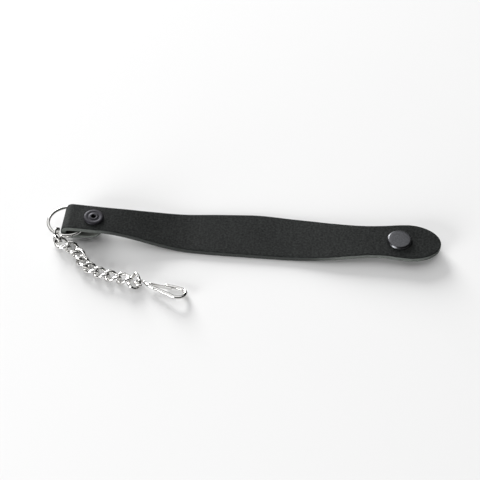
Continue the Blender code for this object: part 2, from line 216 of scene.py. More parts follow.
def makeScuffGroup():
    tree, given, result = newGroup("fineScuffs", "ShaderNodeTree",
                                   [("Vector", "Vector", None), ("Size", "Float", 900),
                                    ("Cover", "Float", 0.4)],
                                   [("Mask", "Float", None)])
    strokes = None
    for turn in (0.4, 1.9):
        laid = addNode(tree, "ShaderNodeMapping", {
            "Vector": given["Vector"], "Rotation": (0.3, turn, turn * 2), "Scale": (1, 0.08, 1)})
        lines = addNoise(tree, laid.outputs[0], given["Size"], 2)[0]
        sharp = addRange(tree, lines, 0.6, 0.72)
        strokes = sharp if strokes is None else addSum(tree, "MAXIMUM", strokes, sharp)
    tree.links.new(addProduct(tree, strokes, given["Cover"]), result["Mask"])
    return tree


def makeRubGroup():
    tree, given, result = newGroup("rubbedEdges", "ShaderNodeTree",
                                   [("Vector", "Vector", None), ("Start", "Float", 0.1),
                                    ("Full", "Float", 0.4), ("Break", "Float", 700)],
                                   [("Mask", "Float", None)])
    spots = addNoise(tree, given["Vector"], given["Break"], 4)[0]
    edge = addRange(tree, readMark(tree, "rub"), given["Start"], given["Full"])
    tree.links.new(addProduct(tree, edge, addRange(tree, spots, 0.35, 0.65)), result["Mask"])
    return tree


grainGroup = makeGrainGroup()
scuffGroup = makeScuffGroup()
rubGroup = makeRubGroup()


# Finishes

leatherFinish = {
    "dye": (0.0028, 0.0035, 0.0034),
    "worn": (0.036, 0.0385, 0.0375),
    "burnish": (0.004, 0.0045, 0.0045),
    "cutEdge": (0.205, 0.222, 0.208),
    "cutEdgeDark": (0.062, 0.068, 0.063),
    "flesh": (0.13, 0.135, 0.12),
    "roughness": 0.68,
    "gloss": 0.07,
    "grainDepth": 0.1 * mm,
    "fibreDepth": 0.1 * mm,
}


def mixColours(tree, share, first, second):
    made = addNode(tree, "ShaderNodeMix", {0: share}, data_type="RGBA")
    for index, value in ((6, first), (7, second)):
        if isinstance(value, bpy.types.NodeSocket):
            tree.links.new(value, made.inputs[index])
        else:
            made.inputs[index].default_value = (*value, 1)
    return made.outputs[2]


def useGroup(tree, group, values):
    return addNode(tree, "ShaderNodeGroup", values, node_tree=group).outputs


def newFinish(name):
    look = bpy.data.materials.new(name)
    look.use_nodes = True
    tree = look.node_tree
    return look, tree, tree.nodes["Principled BSDF"]


def addRelief(tree, shader, height):
    bump = addNode(tree, "ShaderNodeBump", {"Height": height, "Strength": 1, "Distance": 1})
    tree.links.new(bump.outputs[0], shader.inputs["Normal"])


def makeLeather(values):
    look, tree, shader = newFinish("blackLeather")
    shader.inputs["Specular IOR Level"].default_value = values["gloss"]
    onStrap = addNode(tree, "ShaderNodeUVMap", uv_map="alongStrap").outputs[0]
    cut, flesh, bevel, raw, stretch = [readMark(tree, name) for name in (
        "cutEdge", "fleshSide", "rub", "rawEdge", "stretch")]
    bare = addSum(tree, "MAXIMUM", cut, flesh)
    grain = useGroup(tree, grainGroup, {"Vector": onStrap})
    rubbed = useGroup(tree, rubGroup, {"Vector": onStrap, "Start": 0.25, "Full": 0.9, "Break": 500})
    scuffs = useGroup(tree, scuffGroup, {"Vector": onStrap, "Size": 700, "Cover": 0.35})

    # grain side: dyed black, with broad clouds and paler rubbed places
    cloudy = addRange(tree, addNoise(tree, onStrap, 70, 5, 0.6)[0], 0.35, 0.7)
    mottled = addRange(tree, addNoise(tree, onStrap, 900, 3, 0.6)[0], 0.36, 0.64)
    pale = addSum(tree, "ADD", addProduct(tree, cloudy, 0.16), addProduct(tree, mottled, 0.48))
    cracked = addProduct(tree, stretch, addSum(tree, "SUBTRACT", 1.2, grain["Crease"]))
    top = mixColours(tree, pale, values["dye"], values["worn"])
    for share, most, colour in ((scuffs["Mask"], 0.6, "worn"), (cracked, 0.8, "worn"),
                                (bevel, 0.85, "burnish"), (rubbed["Mask"], 0.12, "cutEdge")):
        top = mixColours(tree, addProduct(tree, share, most), top, values[colour])

    # cut edge: layers of fibre that run along the strap
    laid = addNode(tree, "ShaderNodeMapping", {"Vector": onStrap, "Scale": (0.18, 1, 1)}).outputs[0]
    fibres = addNoise(tree, laid, 2600, 5, 0.65)[0]
    edge = mixColours(tree, addRange(tree, fibres, 0.32, 0.68), values["cutEdgeDark"], values["cutEdge"])
    edge = mixColours(tree, addProduct(tree, cloudy, 0.35), edge, values["cutEdgeDark"])
    edge = mixColours(tree, raw, values["worn"], edge)
    nap = addNoise(tree, onStrap, 2200, 6, 0.7)[0]
    under = mixColours(tree, nap, values["cutEdgeDark"], values["flesh"])

    colour = mixColours(tree, cut, mixColours(tree, flesh, top, under), edge)
    tree.links.new(colour, shader.inputs["Base Color"])
    shine = addSum(tree, "MULTIPLY_ADD", grain["Crease"], -0.08, values["roughness"])
    shine = addSum(tree, "MULTIPLY_ADD", cloudy, 0.1, shine)
    rough = addNode(tree, "ShaderNodeMix", {0: bare, 2: shine, 3: 0.9}, data_type="FLOAT").outputs[0]
    tree.links.new(rough, shader.inputs["Roughness"])
    grainHeight = addProduct(tree, grain["Height"], values["grainDepth"])
    fibreHeight = addProduct(tree, addSum(tree, "ADD", fibres, nap), values["fibreDepth"])
    height = addNode(tree, "ShaderNodeMix", {0: bare, 2: grainHeight, 3: fibreHeight}, data_type="FLOAT")
    addRelief(tree, shader, height.outputs[0])
    return look


platings = {
    "brightNickel": {
        "metal": (0.78, 0.775, 0.76), "dull": (0.56, 0.55, 0.53), "smooth": 0.035, "scuffed": 0.2,
        "haze": 420, "strokes": 0.8, "start": -0.2, "full": 0.5, "wear": 0.0, "dentDepth": 0.006 * mm},
    "darkGunmetal": {
        "metal": (0.098, 0.1, 0.106), "dull": (0.034, 0.033, 0.038), "smooth": 0.3, "scuffed": 0.46,
        "haze": 1300, "strokes": 0.25, "start": 0.06, "full": 0.3, "wear": 0.6, "dentDepth": 0.02 * mm},
    "blackGunmetal": {
        "metal": (0.034, 0.033, 0.038), "dull": (0.022, 0.022, 0.025), "smooth": 0.52, "scuffed": 0.64,
        "haze": 900, "strokes": 0.4, "start": 0.06, "full": 0.3, "wear": 0.15, "dentDepth": 0.02 * mm},
}


def makePlating(name, values):
    look, tree, shader = newFinish(name)
    place = addNode(tree, "ShaderNodeTexCoord").outputs["Object"]
    scuffs = useGroup(tree, scuffGroup, {"Vector": place, "Size": 1500, "Cover": values["strokes"]})
    rubbed = useGroup(tree, rubGroup, {"Vector": place, "Start": values["start"], "Full": values["full"]})
    hazy = addRange(tree, addNoise(tree, place, values["haze"], 5, 0.65)[0], 0.4, 0.75)
    colour = mixColours(tree, addProduct(tree, hazy, 0.7), values["metal"], values["dull"])
    worn = tuple(min(1, 3 * part) for part in values["metal"])
    colour = mixColours(tree, addProduct(tree, rubbed["Mask"], values["wear"]), colour, worn)
    tree.links.new(colour, shader.inputs["Base Color"])
    shader.inputs["Metallic"].default_value = 1
    spread = addSum(tree, "MAXIMUM", scuffs["Mask"], addProduct(tree, hazy, 0.6))
    rough = addRange(tree, spread, 0, 1, values["smooth"], values["scuffed"])
    tree.links.new(rough, shader.inputs["Roughness"])
    dents = addSum(tree, "SUBTRACT", addNoise(tree, place, 700, 3)[0], scuffs["Mask"])
    addRelief(tree, shader, addProduct(tree, dents, values["dentDepth"]))
    return look


leather = makeLeather(leatherFinish)
nickel = makePlating("brightNickel", platings["brightNickel"])
gunmetal = makePlating("darkGunmetal", platings["darkGunmetal"])
blackened = makePlating("blackGunmetal", platings["blackGunmetal"])
print("finishes made")


# Folded end: a leaning frame on the stud's foot, u along the strap and v out of it

foldedEnd = {
    "rise": 4.5,
    "eyeletFromFold": 15.8 * mm,
    "pocketGap": 2.9 * mm,
    "seatGap": 0.3 * mm,
    "closeBefore": 1.2 * mm,
    "skivedBefore": 1.5 * mm,
}
strapCut = {
    "length": 194 * mm,
    "foldToOrigin": 84.3 * mm,
    "thickness": 2.6 * mm,
    "foldWidth": 17.0 * mm,
    "bellyWidth": 28.0 * mm,
    "waistWidth": 20.3 * mm,
    "tipWidth": 23.3 * mm,
    "tipRounding": 16.5 * mm,
    "bow": 1.8 * mm,
    "flatBehind": 16 * mm,
    "flatBefore": 26 * mm,
    "flapLength": 22.3 * mm,
    "flapWidth": 16.3 * mm,
    "flapRounding": 5 * mm,
    "flapSkived": 0.6,
    "grainRounding": 0.6 * mm,
    "fleshRounding": 0.3 * mm,
    "pillow": 0.16 * mm,
    "pillowFrom": 0.9 * mm,
    "pillowReach": 1.1 * mm,
    "unevenness": 0.05 * mm,
    "edgeFray": 0.09 * mm,
    "stretchReach": 4 * mm,
    "lengthStep": 0.9 * mm,
    "rowsAcross": 22,
}
eyeletCut = {"flange": 10.4 * mm, "hole": 2.3 * mm, "height": 1.1 * mm, "barrel": 3.2 * mm}
studCut = {"height": 3.2 * mm, "knob": 4.2 * mm, "base": 5.6 * mm, "dish": 0.5 * mm, "foot": 0.8}
capCut = {"across": 12.7 * mm, "height": 1.7 * mm, "shank": 3.0 * mm}
socketCut = {"height": 3.4 * mm, "flange": 11.4 * mm, "mouth": 5.2 * mm}

foldX = -strapCut["foldToOrigin"]
tipX = foldX + strapCut["length"]
capLow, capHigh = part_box("snap_cap")
capX = (capLow[0] + capHigh[0]) / 2
tipRest = socketCut["height"] + foldedEnd["seatGap"]
flapThickness = strapCut["flapSkived"] * strapCut["thickness"]
flapTop = studCut["height"] - studCut["dish"] + foldedEnd["seatGap"] + flapThickness
upperRest = flapTop + foldedEnd["pocketGap"]


def foldedEndFrame():
    rise = math.radians(foldedEnd["rise"])
    upperFace = upperRest + strapCut["thickness"]
    foot = foldX + foldedEnd["eyeletFromFold"] - upperFace * math.sin(rise)
    lift = studCut["foot"] * studCut["knob"] / 2 * math.sin(rise)
    return Matrix.Translation((foot, 0, lift)) @ Matrix.Rotation(rise, 4, "Y")


leaning = foldedEndFrame()


# Strap

strapOutline = [  # share of the length from the fold, full width
    (0.000, strapCut["foldWidth"]),
    (0.084, 0.985 * strapCut["foldWidth"]),
    (0.125, 0.98 * strapCut["foldWidth"]),
    (0.166, 0.636 * strapCut["bellyWidth"]),
    (0.208, 0.696 * strapCut["bellyWidth"]),
    (0.249, 0.768 * strapCut["bellyWidth"]),
    (0.290, 0.829 * strapCut["bellyWidth"]),
    (0.342, 0.895 * strapCut["bellyWidth"]),
    (0.393, 0.939 * strapCut["bellyWidth"]),
    (0.445, 0.971 * strapCut["bellyWidth"]),
    (0.507, strapCut["bellyWidth"]),
    (0.558, 0.989 * strapCut["bellyWidth"]),
    (0.610, 0.957 * strapCut["bellyWidth"]),
    (0.661, 0.914 * strapCut["bellyWidth"]),
    (0.713, 0.85 * strapCut["bellyWidth"]),
    (0.754, 1.084 * strapCut["waistWidth"]),
    (0.795, 1.015 * strapCut["waistWidth"]),
    (0.826, strapCut["waistWidth"]),
    (0.857, 1.03 * strapCut["waistWidth"]),
    (0.888, 0.961 * strapCut["tipWidth"]),
    (1 - strapCut["tipRounding"] / strapCut["length"], strapCut["tipWidth"]),
]
strapSwing = [  # share of the length, share of the bow
    (0, 0), (0.084, 0.12), (0.166, 0.35), (0.249, 0.5), (0.342, 0.65), (0.445, 0.88), (0.507, 1),
    (0.558, 0.82), (0.610, 0.5), (0.661, 0.12), (0.713, -0.25), (0.774, -0.36), (0.826, -0.2),
    (0.888, 0), (1, 0),
]


def smoothTable(rows, size):
    # a smooth table of places along the strap, from rows of (share of its length, value)
    path = smoothPath([(share * strapCut["length"], value * size, 0) for share, value in rows], 12)
    return [(place.x, place.y) for place in path]


outlineTable = smoothTable(strapOutline, 1)
swingTable = smoothTable(strapSwing, strapCut["bow"])
rawEdgeTable = [  # distance from the tip, how much raw fibre shows at the cut edge
    (0, 1), (50 * mm, 1), (66 * mm, 0.12), (168 * mm, 0.08), (179 * mm, 0.8), (196 * mm, 1),
]


def strapHeight(x, leave):
    # middle of the leather, from the raised tip down to the flat belly and up to the fold
    rest = strapCut["thickness"] / 2
    raised = tipRest + rest
    levelFrom = capX - capCut["across"] / 2
    if x >= levelFrom:
        return raised
    if x >= strapCut["flatBefore"]:
        share = (x - strapCut["flatBefore"]) / (levelFrom - strapCut["flatBefore"])
        return rest + (raised - rest) * share * share * (3 - 2 * share)
    if x >= -strapCut["flatBehind"]:
        return rest
    span = -strapCut["flatBehind"] - leave.x
    share = (x - leave.x) / span
    slope = -math.tan(math.radians(foldedEnd["rise"])) * span
    return (leave.z + slope * share + (3 * (rest - leave.z) - 2 * slope) * share ** 2
            + (2 * (leave.z - rest) + slope) * share ** 3)


def strapStations():
    # rows of (middle, half width, half depth) from the tip to the end of the tail
    thickness = strapCut["thickness"]
    half = thickness / 2
    foldRadius = foldedEnd["pocketGap"] / 2 + half
    foldU = -foldedEnd["eyeletFromFold"] + foldRadius + half
    upperMid = upperRest + half
    leaveU = eyeletCut["flange"] / 2 + foldedEnd["seatGap"]
    leave = leaning @ Vector((leaveU, 0, upperMid))
    noseStart = tipX - strapCut["tipRounding"]
    rows = []

    def addFlat(x, halfWidth):
        rows.append((Vector((x, readTable(swingTable, x - foldX), strapHeight(x, leave))), halfWidth, half))

    for angle in range(90, 0, -3):
        turn = math.radians(angle)
        addFlat(noseStart + strapCut["tipRounding"] * math.sin(turn),
                strapCut["tipWidth"] / 2 * math.cos(turn))
    count = round((noseStart - leave.x) / strapCut["lengthStep"])
    for k in range(count):
        x = noseStart + (leave.x - noseStart) * k / count
        addFlat(x, readTable(outlineTable, x - foldX) / 2)
    count = round((leaveU - foldU) / strapCut["lengthStep"])
    for k in range(count):
        place = leaning @ Vector((leaveU + (foldU - leaveU) * k / count, 0, upperMid))
        place.y = readTable(swingTable, place.x - foldX)
        rows.append((place, readTable(outlineTable, place.x - foldX) / 2, half))
    middleV = upperRest - foldedEnd["pocketGap"] / 2
    for angle in range(90, 271, 6):
        turn = math.radians(angle)
        place = (foldU + foldRadius * math.cos(turn), 0, middleV + foldRadius * math.sin(turn))
        rows.append((leaning @ Vector(place), strapCut["foldWidth"] / 2, half))
    # the tail runs back under the ring, gets thinner and closes up past the barrel
    rounding = strapCut["flapRounding"]
    endU = strapCut["flapLength"] - foldedEnd["eyeletFromFold"]
    roundFrom = endU - rounding
    closeFrom = -eyeletCut["barrel"] / 2 - foldedEnd["closeBefore"]
    skivedFrom = -studCut["base"] / 2 - foldedEnd["skivedBefore"]
    gaps = [(closeFrom, foldedEnd["pocketGap"]), (endU, foldedEnd["seatGap"])]
    depths = [(foldU, thickness), (skivedFrom, flapThickness), (endU, 0.9 * flapThickness)]
    widths = [(foldU, strapCut["foldWidth"]), (roundFrom, strapCut["flapWidth"])]
    places = [foldU + (roundFrom - foldU) * k / 18 for k in range(1, 19)]
    places += [roundFrom + rounding * math.sin(math.radians(angle)) for angle in range(6, 91, 6)]
    for u in places:
        depth = readTable(depths, u)
        share = min(1, max(0, (u - roundFrom) / rounding))
        width = readTable(widths, u) * math.sqrt(1 - share * share)
        middle = leaning @ Vector((u, 0, upperRest - readTable(gaps, u, True) - depth / 2))
        rows.append((middle, width / 2, depth / 2))
    return rows


def strapRing(halfDepth):
    # one turn round the strap: rows of (share across, inset from the outline, height, kind)
    top = min(strapCut["grainRounding"], 0.7 * halfDepth)
    low = min(strapCut["fleshRounding"], 0.3 * halfDepth)
    count = strapCut["rowsAcross"]
    ring = [(1 - 2 * k / count, top, halfDepth, "grain") for k in range(count + 1)]
    side = []
    for angle in (18, 36, 54, 72, 90):
        turn = math.radians(angle)
        kind = "bevel" if angle < 60 else "cut"
        side.append((top * (1 - math.sin(turn)), halfDepth - top * (1 - math.cos(turn)), kind))
    wallTop = halfDepth - top
    wallLow = -halfDepth + low
    for k in (1, 2, 3):
        side.append((0, wallTop + (wallLow - wallTop) * k / 4, "cut"))
    for angle in (0, 30, 60):
        turn = math.radians(angle)
        side.append((low * (1 - math.cos(turn)), wallLow - low * math.sin(turn), "cut"))
    ring += [(-1, inset, height, kind) for inset, height, kind in side]
    ring += [(-1 + 2 * k / count, low, -halfDepth, "flesh") for k in range(count + 1)]
    ring += [(1, inset, height, kind) for inset, height, kind in reversed(side)]
    return ring


def makeStrap():
    rows = strapStations()
    run = [0.0]
    for (before, *_), (after, *_) in zip(rows, rows[1:]):
        run.append(run[-1] + (after - before).length)
    across = Vector((0, 1, 0))
    eyeletAt = leaning @ Vector((0, 0, upperRest))
    eyeletRun = min(range(len(rows)), key=lambda k: (rows[k][0] - eyeletAt).length)
    capRun = min(range(len(rows)), key=lambda k: abs(rows[k][0].x - capX))
    studs = [(run[eyeletRun], eyeletCut["flange"] / 2), (run[capRun], capCut["across"] / 2)]
    foldRun = run[min(range(len(rows)), key=lambda k: rows[k][0].x)]
    shape = bmesh.new()
    marks = [shape.verts.layers.float.new(name)
             for name in ("cutEdge", "fleshSide", "rub", "rawEdge", "stretch")]
    uvLayer = shape.loops.layers.uv.new("alongStrap")
    rings = []
    for index, (middle, halfWidth, halfDepth) in enumerate(rows):
        low = max(index - 1, 0)
        high = min(index + 1, len(rows) - 1)
        ahead = (rows[high][0] - rows[low][0]).normalized()
        up = across.cross(ahead).normalized()
        outward = Vector((rows[low][1] - rows[high][1], run[high] - run[low])).normalized()
        if index == 0:
            outward = Vector((-1, 0))
        if index == len(rows) - 1:
            outward = Vector((1, 0))
        ring = []
        edgeRun = 0
        lastPlace = None
        for share, inset, height, kind in strapRing(halfDepth):
            aside = share * max(0, halfWidth - inset * outward.y)
            along = run[index] - inset * outward.x
            lift = 0
            if kind == "grain":
                for studRun, reach in studs:
                    away = math.hypot(along - studRun, aside) - reach - strapCut["pillowFrom"]
                    lift += strapCut["pillow"] * math.exp(-(away / strapCut["pillowReach"]) ** 2)
                lift += strapCut["unevenness"] * noise.noise(Vector((along * 90, aside * 120, 3)))
                lift *= min(1, (1 - abs(share)) * 5)
            elif kind == "cut":
                fray = noise.noise(Vector((along * 900, height * 2600, share * 7)))
                inset += strapCut["edgeFray"] * abs(fray)
                aside = share * max(0, halfWidth - inset * outward.y)
            place = middle - inset * outward.x * ahead + aside * across + (height + lift) * up
            vert = shape.verts.new(place)
            stretched = math.exp(-((run[index] - foldRun) / strapCut["stretchReach"]) ** 2)
            for mark, value in zip(marks, (kind == "cut", kind == "flesh", kind == "bevel",
                                           readTable(rawEdgeTable, run[index]), stretched)):
                vert[mark] = float(value)
            if kind in ("bevel", "cut") and lastPlace is not None:
                edgeRun += math.hypot(inset - lastPlace[0], height - lastPlace[1])
            else:
                edgeRun = 0
            lastPlace = (inset, height)
            sign = 1 if share > 0 else -1
            onSide = aside + sign * edgeRun
            ring.append((vert, along, aside, onSide, kind))
        rings.append(ring)
    count = len(rings[0])
    for ring, following in zip(rings, rings[1:]):
        for k in range(count):
            after = (k + 1) % count
            corners = [ring[k], ring[after], following[after], following[k]]
            face = shape.faces.new([corner[0] for corner in corners])
            flesh = all(corner[4] == "flesh" for corner in corners)
            grain = all(corner[4] == "grain" for corner in corners)
            for loop, (_, along, aside, onSide, _) in zip(face.loops, corners):
                if flesh:
                    loop[uvLayer].uv = (along, aside + 0.1)
                elif grain:
                    loop[uvLayer].uv = (along, aside)
                else:
                    loop[uvLayer].uv = (along, onSide)
    bmesh.ops.remove_doubles(shape, verts=shape.verts, dist=1e-6)
    bmesh.ops.holes_fill(shape, edges=[edge for edge in shape.edges if edge.is_boundary], sides=0)
    bmesh.ops.recalc_face_normals(shape, faces=shape.faces)
    mesh = toMesh(shape, "leatherStrap")
    mesh.shade_smooth()
    mesh = cutStudHoles(mesh)
    mesh.set_sharp_from_angle(angle=math.radians(60))
    addPiece("leatherStrap", mesh, leather, "leather", "root", "strap")


def cutStudHoles(mesh):
    # the two posts pass through round holes
    target = newObject("strapBlank", mesh)
    top = upperRest + 2 * strapCut["thickness"]
    punches = []
    for place, radius in ((leaning, eyeletCut["barrel"] / 2),
                          (Matrix.Translation((capX, 0, 0)), capCut["shank"] / 2)):
        radius += foldedEnd["seatGap"]
        shape = bmesh.new()
        bmesh.ops.create_cone(shape, cap_ends=True, segments=40, radius1=radius, radius2=radius, depth=top)
        raised = place @ Matrix.Translation((0, 0, top / 2 + 0.2 * mm))
        bmesh.ops.transform(shape, matrix=raised, verts=shape.verts)
        punch = newObject("punch", toMesh(shape, "punch"))
        cut = target.modifiers.new("hole", "BOOLEAN")
        cut.operation = "DIFFERENCE"
        cut.solver = "EXACT"
        cut.object = punch
        punches.append(punch)
    holed = asPlainMesh(target, "leatherStrap")
    for made in punches + [target]:
        bpy.data.objects.remove(made)
    return holed


makeStrap()
print("strap cut and folded")


# Wire parts: a path of points with its own thickness, made round by nodes

def readField(tree, name, kind):
    made = addNode(tree, "GeometryNodeInputNamedAttribute", {"Name": name}, data_type=kind)
    return made.outputs["Attribute"]


def addTube(tree, curve, size, wire, sides, caps):
    # a smooth tube along the curve, with the wire's thickness times size
    sized = addNode(tree, "GeometryNodeSetCurveRadius", {"Curve": curve, "Radius": size}).outputs[0]
    profile = addNode(tree, "GeometryNodeCurvePrimitiveCircle", {
        "Resolution": sides, "Radius": addProduct(tree, wire, 0.5)}, mode="RADIUS").outputs[0]
    tube = addNode(tree, "GeometryNodeCurveToMesh", {
        "Curve": sized, "Profile Curve": profile, "Fill Caps": caps})
    if "Scale" in tube.inputs:
        tree.links.new(size, tube.inputs["Scale"])
    return addNode(tree, "GeometryNodeSetShadeSmooth", {"Geometry": tube.outputs[0]}).outputs[0]


def finishTree(tree, geometry, finish, result):
    real = addNode(tree, "GeometryNodeRealizeInstances", {"Geometry": geometry}).outputs[0]
    done = addNode(tree, "GeometryNodeSetMaterial", {"Geometry": real, "Material": finish}).outputs[0]
    tree.links.new(done, result)


def makeWireTree():
    tree, given, result = newGroup("roundWire", "GeometryNodeTree",
                                   [("Geometry", "Geometry", None), ("Wire", "Float", 1.9 * mm),
                                    ("Sides", "Int", 20), ("Finish", "Material", None)],
                                   [("Geometry", "Geometry", None)])
    size = readField(tree, "wireShare", "FLOAT")
    curve = addNode(tree, "GeometryNodeMeshToCurve", {"Mesh": given["Geometry"]}).outputs[0]
    tube = addTube(tree, curve, size, given["Wire"], given["Sides"], True)
    finishTree(tree, tube, given["Finish"], result["Geometry"])
    return tree


def bendWire(name, tree, path, shares, wire, sides, look, closed=False):
    mesh = bpy.data.meshes.new(name)
    edges = [(k, k + 1) for k in range(len(path) - 1)]
    if closed:
        edges.append((len(path) - 1, 0))
    mesh.from_pydata(path, edges, [])
    mark = mesh.attributes.new("wireShare", "FLOAT", "POINT")
    mark.data.foreach_set("value", shares)
    made = runNodes(name, mesh, tree, {"Wire": wire, "Sides": sides, "Finish": look})
    faceOutward(made)
    markRub(made)
    return made


wireTree = makeWireTree()

ringCut = {
    "inside": 18.2 * mm, "wire": 1.9 * mm, "steps": 120, "sides": 24,
    "weldDepth": 0.1, "weldReach": 0.25 * mm,
}


def boxMiddle(name):
    low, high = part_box(name)
    return Vector([(a + b) / 2 for a, b in zip(low, high)])


def makeRing():
    middle = boxMiddle("ring")
    radius = (ringCut["inside"] + ringCut["wire"]) / 2
    path = []
    shares = []
    for k in range(ringCut["steps"]):
        angle = math.tau * (k + 0.5) / ringCut["steps"]
        path.append(middle + Vector((radius * math.cos(angle), radius * math.sin(angle), 0)))
        # the weld is a shallow neck on the far side of the fold
        away = min(angle, math.tau - angle) * radius
        shares.append(1 - ringCut["weldDepth"] * math.exp(-(away / ringCut["weldReach"]) ** 2))
    mesh = bendWire("ring", wireTree, path, shares, ringCut["wire"], ringCut["sides"], nickel, closed=True)
    addPiece("wireRing", mesh, nickel, "nickel", "root", "ring")


makeRing()
print("ring bent")


# Chain: one twisted oval of wire stands at every point of the route

chainCut = {
    "wire": 1.7 * mm,
    "length": 9.9 * mm,
    "width": 7.5 * mm,
    "twist": -52,
    "squareness": 2.2,
    "steps": 64,
    "sides": 16,
    "jointDepth": 0.2,
    # heading, dip and roll of each link, in degrees
    "turns": [(-80, 70, 78), (-17, 12, -8), (-33, 8, -3), (-56, -1, -11), (-49, -2, -13),
              (-29, -2, -13), (-19, -2, -13), (-13, -3, -13), (-12, -18, 1), (-85, 10, 16)],
}


def makeChainTree():
    tree, given, result = newGroup("curbChain", "GeometryNodeTree",
                                   [("Geometry", "Geometry", None), ("Wire", "Float", 1.7 * mm),
                                    ("Length", "Float", 9.9 * mm), ("Width", "Float", 7.5 * mm),
                                    ("Twist", "Float", 0.9), ("Squareness", "Float", 2.2),
                                    ("Steps", "Int", 64), ("Sides", "Int", 16),
                                    ("Joint Depth", "Float", 0.2), ("Finish", "Material", None)],
                                   [("Geometry", "Geometry", None)])

    def halfOf(size):
        return addProduct(tree, addSum(tree, "SUBTRACT", given[size], given["Wire"]), 0.5)

    def squared(wave, halfSize):
        power = addSum(tree, "DIVIDE", 2, given["Squareness"])
        size = addSum(tree, "POWER", addSum(tree, "ABSOLUTE", wave), power)
        return addProduct(tree, addProduct(tree, size, addSum(tree, "SIGN", wave)), halfSize)

    index = tree.nodes.new("GeometryNodeInputIndex").outputs[0]
    step = addSum(tree, "DIVIDE", addSum(tree, "ADD", index, 0.5), given["Steps"])
    turn = addProduct(tree, step, math.tau)
    halfLength = halfOf("Length")
    x = squared(addSum(tree, "COSINE", turn), halfLength)
    y = squared(addSum(tree, "SINE", turn), halfOf("Width"))
    lean = addProduct(tree, addSum(tree, "DIVIDE", x, halfLength), given["Twist"])
    place = addNode(tree, "ShaderNodeCombineXYZ", {
        0: x, 1: addProduct(tree, y, addSum(tree, "COSINE", lean)),
        2: addProduct(tree, y, addSum(tree, "SINE", lean))}).outputs[0]
    # the butt joint pinches the wire in the middle of one long side
    fromJoint = addSum(tree, "ABSOLUTE", addSum(tree, "SUBTRACT", turn, math.pi / 2))
    pinch = addRange(tree, fromJoint, 0, 0.16, 1, 0)
    size = addSum(tree, "SUBTRACT", 1, addProduct(tree, pinch, given["Joint Depth"]))

    loop = addNode(tree, "GeometryNodeCurvePrimitiveCircle", {"Resolution": given["Steps"]}, mode="RADIUS")
    shaped = addNode(tree, "GeometryNodeSetPosition", {
        "Geometry": loop.outputs[0], "Position": place}).outputs[0]
    link = addTube(tree, shaped, size, given["Wire"], given["Sides"], False)
    facing = readField(tree, "linkTurn", "FLOAT_VECTOR")
    rotation = addNode(tree, "FunctionNodeEulerToRotation", {0: facing}).outputs[0]
    laid = addNode(tree, "GeometryNodeInstanceOnPoints", {
        "Points": given["Geometry"], "Instance": link, "Rotation": rotation}).outputs[0]
    finishTree(tree, laid, given["Finish"], result["Geometry"])
    return tree


def makeChain():
    names = [f"link_{k:02d}" for k in range(1, len(chainCut["turns"]) + 1)]
    points = bpy.data.meshes.new("chainRoute")
    points.from_pydata([boxMiddle(name) for name in names], [], [])
    mark = points.attributes.new("linkTurn", "FLOAT_VECTOR", "POINT")
    flat = [math.radians(angle) for heading, dip, roll in chainCut["turns"] for angle in (roll, dip, heading)]
    mark.data.foreach_set("vector", flat)
    mesh = runNodes("curbChain", points, makeChainTree(), {
        "Wire": chainCut["wire"], "Length": chainCut["length"], "Width": chainCut["width"],
        "Twist": math.radians(chainCut["twist"]), "Squareness": chainCut["squareness"],
        "Steps": chainCut["steps"], "Sides": chainCut["sides"], "Joint Depth": chainCut["jointDepth"],
        "Finish": nickel})
    faceOutward(mesh)
    markRub(mesh)
    addPiece("curbChain", mesh, nickel, "nickel", "root", *names)


makeChain()
print("chain linked")


# Clip: a wire hook with an eye, closed by a flat spring leaf

clipCut = {
    "length": 28.0 * mm,
    "width": 10.3 * mm,
    "wire": 1.9 * mm,
    "eyeWire": 1.4 * mm,
    "eyeInside": 3.0 * mm,
    "noseLength": 8.0 * mm,
    "noseDrop": 0.6 * mm,
    # along the nose: share of its length, share of the wire's thickness
    "nose": [(0.15, 1), (0.35, 1), (0.55, 0.98), (0.7, 0.96), (0.82, 0.92), (0.9, 0.86), (0.95, 0.76),
             (0.98, 0.62), (1, 0.42)],
    "eyeSlack": 0.2 * mm,
    "shoulder": (0.8 * mm, 0.7 * mm),
    "neck": (2.4 * mm, -0.35 * mm),
    "heading": -14.5,
    "dip": -0.2,
    "roll": -19,
    "leafThickness": 0.5 * mm,
    "leafWidth": 1.8 * mm,
    "leafUnderNose": 4.2 * mm,
    "leafBelowNose": 1.34 * mm,
    "leafCorner": 0.5 * mm,
    "sides": 20,
}


def clipFrame():
    # the last link lies across the chain, and its long side runs through the middle of the eye
    middle = boxMiddle(f"link_{len(chainCut['turns']):02d}")
    reach = (chainCut["width"] - chainCut["wire"]) / 2 + clipCut["eyeSlack"]
    turn = Euler([math.radians(clipCut[key]) for key in ("roll", "dip", "heading")]).to_matrix().to_4x4()
    heading = math.radians(clipCut["heading"])
    return Matrix.Translation(middle + Vector((math.cos(heading), math.sin(heading), 0)) * reach) @ turn


